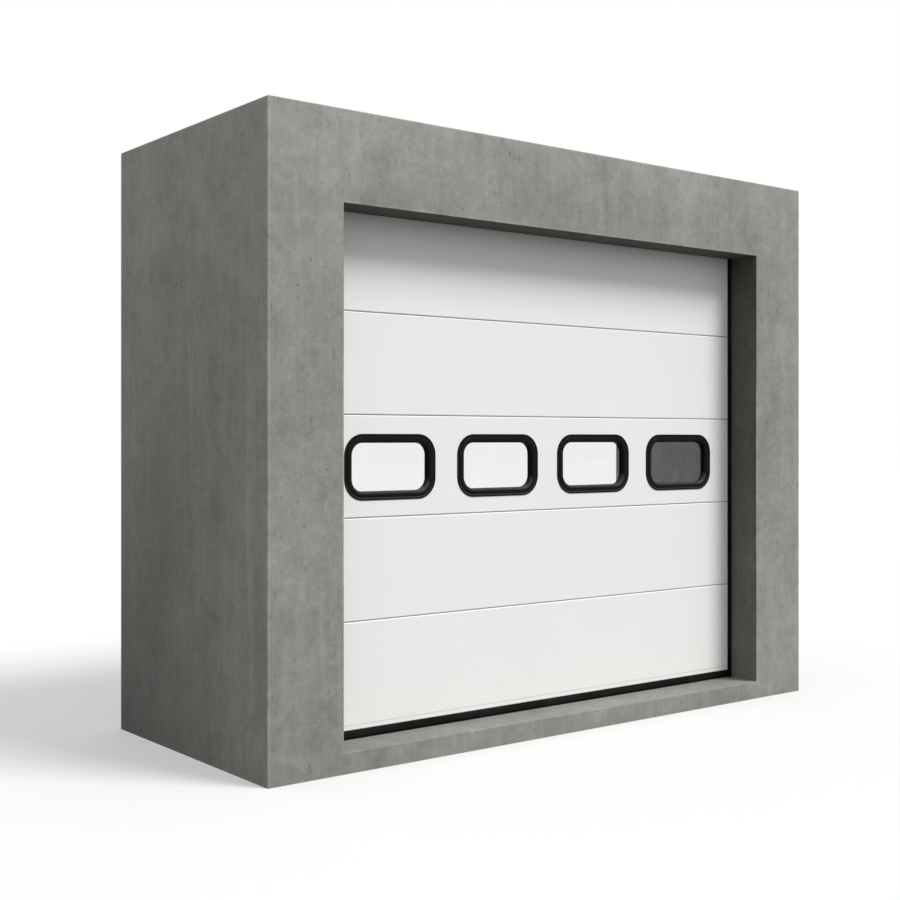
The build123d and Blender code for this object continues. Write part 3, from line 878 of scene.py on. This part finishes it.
class DOOR_OT_window_frames(bpy.types.Operator):
    """Moulds the stepped black window frames, their inner clamps and the clear panes"""

    bl_idname = "door.window_frames"
    bl_label = "Windows"

    def execute(self, context):
        sizes = context.scene.door_sizes
        frame_low, frame_high = box_of("window_frames")
        pane_low, pane_high = box_of("window_panes")
        leaf_low, leaf_high = box_of("leaf_section_5")
        lip = box_of("window_clamps")[1].y
        height = frame_high.z - frame_low.z
        spots = window_spots()
        width = frame_high.x - frame_low.x - (spots[-1].x - spots[0].x)
        face, rear = leaf_low.y, leaf_high.y
        rise = face - frame_low.y
        band = sizes.frame_band
        inner = band - SLEEVE
        bead = band - BEAD
        front = [(inset, face - rise * part) for inset, part in FRAME_EDGE]
        front += [(band * share, face - rise * part) for share, part in FRAME_STEPS]
        front += [
            (band, face + 0.002), (band, face + 0.009), (bead, face + 0.0095),
            (bead, pane_low.y - 0.003), (band, pane_low.y - 0.0025), (band, pane_low.y),
            (inner, pane_low.y), (inner, face),
        ]
        clamp = [
            (0.0, rear), (0.0, lip - 0.0014), (0.0014, lip), (band - 0.010, lip),
            (band - 0.006, lip - 0.001), (band - 0.002, rear - 0.002), (band, rear - 0.005),
            (band, pane_high.y), (inner, pane_high.y), (inner, rear),
        ]
        for name, profile, replaced in (
            ("window_frame_mouldings", front, "window_frames"),
            ("window_clamp_mouldings", clamp, "window_clamps"),
        ):
            bm = bmesh.new()
            for spot in spots:
                sweep_window(bm, profile, spot, width, height, sizes.frame_radius)
            new_piece(name, bm, "frame_black", (replaced,), smooth_angle=38)
        dress("pane_clear", "window_panes")
        return {"FINISHED"}


class DOOR_OT_seals(bpy.types.Operator):
    """Finishes the rubber seals under, beside and over the leaf"""

    bl_idname = "door.seals"
    bl_label = "Seals"

    def execute(self, context):
        dress("seal_black", "bottom_seal", "left_side_seal", "right_side_seal", "top_seal")
        return {"FINISHED"}


# Hardware behind the leaf


# Bolts in a wall angle: how many, how far from its ends, and the thickness of its flange
ANGLE_BOLTS = 6
BOLT_MARGIN = 0.15
FLANGE = 0.0025
# Screws from the middle of a hinge, and the thickness of a hinge plate
HINGE_SCREW_X = 0.016
HINGE_SCREW_Z = 0.036
SIDE_SCREW_Z = 0.04
HINGE_PLATE = 0.003
SEAM = 0.0015
# Flange and head of a screw: sides, then both radii, depth and middle as shares of its width
SCREW_PARTS = ((12, 0.85, 0.75, 0.14, 0.07), (6, 0.57, 0.5, 0.5, 0.39))
# Section of a roller's tyre and of its ball race: place along the axis, radius
TYRE = (
    (-0.0065, 0.012), (-0.0065, 0.0195), (-0.0055, 0.0215), (-0.003, 0.023),
    (0.003, 0.023), (0.0055, 0.0215), (0.0065, 0.0195), (0.0065, 0.012), (-0.0065, 0.012),
)
RACE = (
    (-0.0055, 0.0), (-0.0055, 0.0062), (-0.0045, 0.0072), (-0.003, 0.0078), (-0.003, 0.0108),
    (-0.0055, 0.0112), (-0.0055, 0.0121), (0.0055, 0.0121), (0.0055, 0.0112), (0.003, 0.0108),
    (0.003, 0.0078), (0.0055, 0.0072), (0.0068, 0.005), (0.0068, 0.0),
)
TYRE_HALF = 0.0065
RACE_HALF = 0.0055
STEM_RADIUS = 0.0055
# Gap between two turns of a spring, as a multiple of its wire, and steps of one turn
COIL_GAP = 1.04
COIL_STEPS = 20
# Drum: flange width, depth of the barrel under the rim, depth and number of its grooves
DRUM_FLANGE = 0.003
BARREL_DEPTH = 0.012
GROOVE_DEPTH = 0.0014
GROOVES = 6


class DOOR_OT_tracks(bpy.types.Operator):
    """Finishes the tracks, the wall angles and the hangers, and bolts them"""

    bl_idname = "door.tracks"
    bl_label = "Tracks"

    def execute(self, context):
        dress("steel_galvanised", "track_hangers")
        head = context.scene.door_sizes.screw_head * 1.3
        bm = bmesh.new()
        for side in ("left", "right"):
            for part in ("vertical_track", "curved_track", "horizontal_track", "wall_angle"):
                dress("steel_galvanised", f"{side}_{part}")
            low, high = box_of(f"{side}_wall_angle")
            pitch = (high.z - low.z - 2 * BOLT_MARGIN) / (ANGLE_BOLTS - 1)
            for index in range(ANGLE_BOLTS):
                z = low.z + BOLT_MARGIN + index * pitch
                hex_screw(bm, (low.x + high.x) / 2, low.y + FLANGE, z, head)
        new_piece("track_bolts", bm, "shaft_steel")
        return {"FINISHED"}


def hex_screw(bm, x, y, z, width):
    """A flanged hexagon head that stands on a surface and faces backwards."""
    turn = Vector((0, 0, 1)).rotation_difference(Vector((0, 1, 0))).to_matrix().to_4x4()
    base = Matrix.Translation((x, y, z)) @ turn
    for sides, foot, top, depth, middle in SCREW_PARTS:
        bmesh.ops.create_cone(
            bm, cap_ends=True, segments=sides, radius1=width * foot, radius2=width * top,
            depth=width * depth, matrix=base @ Matrix.Translation((0, 0, width * middle)),
        )


class DOOR_OT_hinges(bpy.types.Operator):
    """Finishes the hinges, roller holders and corner brackets, and puts in their screws"""

    bl_idname = "door.hinges"
    bl_label = "Hinges and brackets"

    def execute(self, context):
        dress("steel_galvanised", "centre_hinges", "left_side_hinges", "right_side_hinges")
        dress("steel_galvanised", "top_brackets", "bottom_brackets")
        head = context.scene.door_sizes.screw_head
        bm = bmesh.new()
        spots = window_spots()
        seams = [box_of(f"leaf_section_{index}")[0].z - SEAM for index in range(2, 6)]
        plate_y = box_of("leaf_section_5")[1].y + HINGE_PLATE
        for z in seams:
            for left, right in zip(spots, spots[1:]):
                x = (left.x + right.x) / 2
                for dx in (-HINGE_SCREW_X, HINGE_SCREW_X):
                    for dz in (-HINGE_SCREW_Z, HINGE_SCREW_Z):
                        hex_screw(bm, x + dx, plate_y, z + dz, head)
        for side in ("left", "right"):
            low, high = box_of(f"{side}_side_hinges")
            for z in seams:
                for dz in (-SIDE_SCREW_Z, SIDE_SCREW_Z):
                    hex_screw(bm, (low.x + high.x) / 2, plate_y + 0.002, z + dz, head)
        new_piece("hinge_screws", bm, "shaft_steel")
        return {"FINISHED"}


def roller_spots():
    """Outer end of the rollers along X, and depth and height of each roller's axis."""
    places = vertices_of("rollers")
    outer = max(place.x for place in places)
    rims = sorted((place for place in places if place.x > outer - 0.001), key=lambda place: place.z)
    gap = 0.02
    groups = [[rims[0]]]
    for place in rims[1:]:
        if place.z - groups[-1][-1].z > gap:
            groups.append([])
        groups[-1].append(place)
    spots = []
    for group in groups:
        ends = [[sort(place[axis] for place in group) for sort in (min, max)] for axis in (1, 2)]
        spots.append([sum(pair) / 2 for pair in ends])
    return outer, spots


class DOOR_OT_rollers(bpy.types.Operator):
    """Turns the nylon roller wheels and their steel stems"""

    bl_idname = "door.rollers"
    bl_label = "Rollers"

    def execute(self, context):
        outer, spots = roller_spots()
        wheels = bmesh.new()
        stems = bmesh.new()
        stem_in = min(abs(place.x) for place in vertices_of("rollers"))
        wheel_x = outer - TYRE_HALF
        length = wheel_x - RACE_HALF - stem_in
        rod = (
            (0.0, 0.0), (0.0, STEM_RADIUS - 0.001), (0.001, STEM_RADIUS), (length, STEM_RADIUS),
            (length, 0.0),
        )
        for side in (-1, 1):
            for y, z in spots:
                for bm, section, x, steps in (
                    (wheels, TYRE, wheel_x, 28), (stems, RACE, wheel_x, 20), (stems, rod, stem_in, 16),
                ):
                    spin_profile(bm, section, Vector((side * x, y, z)), side, steps)
        new_piece("roller_tyres", wheels, "wheel_nylon", ("rollers",))
        new_piece("roller_stems", stems, "shaft_steel")
        return {"FINISHED"}


class DOOR_OT_torsion_shaft(bpy.types.Operator):
    """Winds the torsion springs and turns the grooved cable drums on the shaft"""

    bl_idname = "door.torsion_shaft"
    bl_label = "Torsion shaft"

    def execute(self, context):
        dress("shaft_steel", "torsion_shaft")
        dress("steel_galvanised", "end_bearing_plates", "centre_bearing_plate")
        dress("drum_aluminium", "spring_cones")
        dress("cable_steel", "lift_cables")
        self.wind_springs(context.scene.door_sizes.coil_wire)
        self.turn_drums()
        return {"FINISHED"}

    def wind_springs(self, wire):
        low, high = box_of("torsion_springs")
        inner = min(abs(place.x) for place in vertices_of("torsion_springs"))
        length = high.x - inner
        centre = (low + high) / 2
        radius = (high.z - low.z) / 2 - wire / 2
        turns = int(length / (wire * COIL_GAP))
        pitch = (length - wire) / turns
        wire_sides = 6
        across_wire = Matrix.Rotation(math.radians(90), 4, "X")
        bm = bmesh.new()
        for side in (-1, 1):
            start = Vector((side * (inner + wire / 2), centre.y, centre.z))
            turn = Matrix.Translation(start + Vector((0, 0, radius))) @ across_wire
            ring = bmesh.ops.create_circle(
                bm, cap_ends=False, radius=wire / 2, segments=wire_sides, matrix=turn
            )["verts"]
            before = set(bm.faces)
            edges = list({edge for vert in ring for edge in vert.link_edges})
            bmesh.ops.spin(
                bm, geom=list(ring) + edges, cent=start, axis=(side, 0, 0),
                dvec=(side * pitch / COIL_STEPS, 0, 0), angle=math.tau, steps=COIL_STEPS,
                use_merge=False, use_duplicate=False,
            )
            coil = [face for face in bm.faces if face not in before]
            for index in range(1, turns):
                copy = bmesh.ops.duplicate(bm, geom=coil)["geom"]
                verts = only(copy, bmesh.types.BMVert)
                bmesh.ops.translate(bm, verts=verts, vec=(side * pitch * index, 0, 0))
        bmesh.ops.remove_doubles(bm, verts=bm.verts, dist=0.00005)
        ends = [edge for edge in bm.edges if edge.is_boundary]
        bmesh.ops.holes_fill(bm, edges=ends, sides=wire_sides)
        new_piece("torsion_spring_coils", bm, "spring_steel", ("torsion_springs",), smooth_angle=60)

    def turn_drums(self):
        low, high = box_of("cable_drums")
        places = vertices_of("cable_drums")
        inner = min(abs(place.x) for place in places)
        centre = (low + high) / 2
        width = high.x - inner
        rim = (high.z - low.z) / 2
        bore = min(math.hypot(place.y - centre.y, place.z - centre.z) for place in places)
        barrel = rim - BARREL_DEPTH
        soft = rim - 0.001
        groove = barrel - GROOVE_DEPTH
        pitch = (width - 2 * DRUM_FLANGE) / GROOVES
        profile = [(0.0, bore), (0.0, soft), (0.0008, rim), (0.0022, rim), (DRUM_FLANGE, soft)]
        for index in range(GROOVES):
            x = DRUM_FLANGE + index * pitch
            profile += [(x, barrel), (x + pitch * 0.3, groove), (x + pitch * 0.7, groove)]
        profile += [
            (width - DRUM_FLANGE, barrel), (width - DRUM_FLANGE, soft), (width - 0.0022, rim),
            (width - 0.0008, rim), (width, soft), (width, bore + 0.012),
            (width + 0.001, bore + 0.011), (width + 0.001, bore), (0.0, bore),
        ]
        bm = bmesh.new()
        for side in (-1, 1):
            spin_profile(bm, profile, Vector((side * inner, centre.y, centre.z)), side, 40)
        new_piece("cable_drum_castings", bm, "drum_aluminium", ("cable_drums",))


# Stage


# The floor: its width, its bounce on the door, its seen colour and the lift that makes it white
FLOOR_WIDTH = 60.0
FLOOR_BOUNCE = (0.12, 0.12, 0.12)
FLOOR_SEEN = (0.462, 0.462, 0.456)
FLOOR_LIFT = 0.31
WHITE = (1.0, 1.0, 1.0)


def direct_rays(tree):
    """One for rays that show the floor or the sky to the eye, also in a gloss or through a pane."""
    rays = node(tree, "ShaderNodeLightPath").outputs
    direct = maths(tree, "MAXIMUM", rays["Is Camera Ray"], rays["Is Glossy Ray"])
    return maths(tree, "MAXIMUM", direct, rays["Is Transmission Ray"])


class DOOR_OT_stage(bpy.types.Operator):
    """Sets the pale floor, the key light, the fill light and the camera"""

    bl_idname = "door.stage"
    bl_label = "Stage"

    def execute(self, context):
        stage = context.scene.door_stage
        self.lay_floor()
        self.set_lights(context, stage)
        self.set_camera(context, stage)
        context.scene.view_settings.view_transform = "Standard"
        return {"FINISHED"}

    def lay_floor(self):
        bm = bmesh.new()
        bmesh.ops.create_grid(bm, x_segments=1, y_segments=1, size=FLOOR_WIDTH)
        mesh = bpy.data.meshes.new("pale_floor")
        bm.to_mesh(mesh)
        bm.free()
        floor = add_object("pale_floor", mesh)
        material = bpy.data.materials.new("pale_floor")
        material.use_nodes = True
        tree = material.node_tree
        tree.nodes.clear()
        matt = node(tree, "ShaderNodeBsdfDiffuse", {"Color": FLOOR_BOUNCE})
        seen = node(tree, "ShaderNodeBsdfDiffuse", {"Color": FLOOR_SEEN})
        lift = node(tree, "ShaderNodeEmission", {"Color": WHITE, "Strength": FLOOR_LIFT})
        shown = node(tree, "ShaderNodeAddShader", {0: seen.outputs[0], 1: lift.outputs[0]})
        mix = node(
            tree, "ShaderNodeMixShader",
            {0: direct_rays(tree), 1: matt.outputs[0], 2: shown.outputs[0]},
        )
        node(tree, "ShaderNodeOutputMaterial", {"Surface": mix.outputs[0]})
        mesh.materials.append(material)

    def set_lights(self, context, stage):
        light = bpy.data.lights.new("key_light", "SUN")
        light.energy = stage.sun_strength
        light.angle = stage.sun_spread
        lamp = add_object("key_light", light)
        lamp.rotation_euler = Vector(stage.sun_from).to_track_quat("Z", "Y").to_euler()
        world = bpy.data.worlds.new("even_white")
        world.use_nodes = True
        tree = world.node_tree
        tree.nodes.clear()
        strength = scale_range(tree, direct_rays(tree), 0.0, 1.0, stage.sky_strength, 1.0)
        sky = node(tree, "ShaderNodeBackground", {"Color": WHITE, "Strength": strength})
        node(tree, "ShaderNodeOutputWorld", {"Surface": sky.outputs[0]})
        context.scene.world = world

    def set_camera(self, context, stage):
        lens = bpy.data.cameras.new("photo_camera")
        lens.sensor_fit = "HORIZONTAL"
        lens.sensor_width = 36.0
        lens.lens = stage.focal_length
        lens.shift_y = stage.camera_rise
        lens.clip_end = 200.0
        camera = add_object("photo_camera", lens)
        camera.location = stage.camera_place
        camera.rotation_euler = (math.radians(90), 0.0, -stage.camera_turn)
        context.scene.camera = camera


OPERATORS = (
    DOOR_OT_concrete_shell,
    DOOR_OT_leaf_sections,
    DOOR_OT_window_frames,
    DOOR_OT_seals,
    DOOR_OT_tracks,
    DOOR_OT_hinges,
    DOOR_OT_rollers,
    DOOR_OT_torsion_shaft,
    DOOR_OT_stage,
)


class DOOR_PT_panel(bpy.types.Panel):
    """Lists the pieces of the garage door"""

    bl_idname = "DOOR_PT_panel"
    bl_label = "Garage door"
    bl_space_type = "VIEW_3D"
    bl_region_type = "UI"
    bl_category = "Garage door"

    def draw(self, context):
        layout = self.layout
        for group in ("door_colours", "door_sizes", "door_stage"):
            settings = getattr(context.scene, group)
            box = layout.box()
            for name in settings.__annotations__:
                box.prop(settings, name)
        for operator in OPERATORS:
            layout.operator(operator.bl_idname)


CLASSES = (DoorColours, DoorSizes, StageSettings, *OPERATORS, DOOR_PT_panel)


def register():
    for cls in CLASSES:
        bpy.utils.register_class(cls)
    bpy.types.Scene.door_colours = bpy.props.PointerProperty(type=DoorColours)
    bpy.types.Scene.door_sizes = bpy.props.PointerProperty(type=DoorSizes)
    bpy.types.Scene.door_stage = bpy.props.PointerProperty(type=StageSettings)


def unregister():
    for name in ("door_colours", "door_sizes", "door_stage"):
        delattr(bpy.types.Scene, name)
    for cls in reversed(CLASSES):
        bpy.utils.unregister_class(cls)


def main():
    register()
    for operator in OPERATORS:
        group, name = operator.bl_idname.split(".")
        getattr(getattr(bpy.ops, group), name)()


if __name__ == "__main__":
    main()
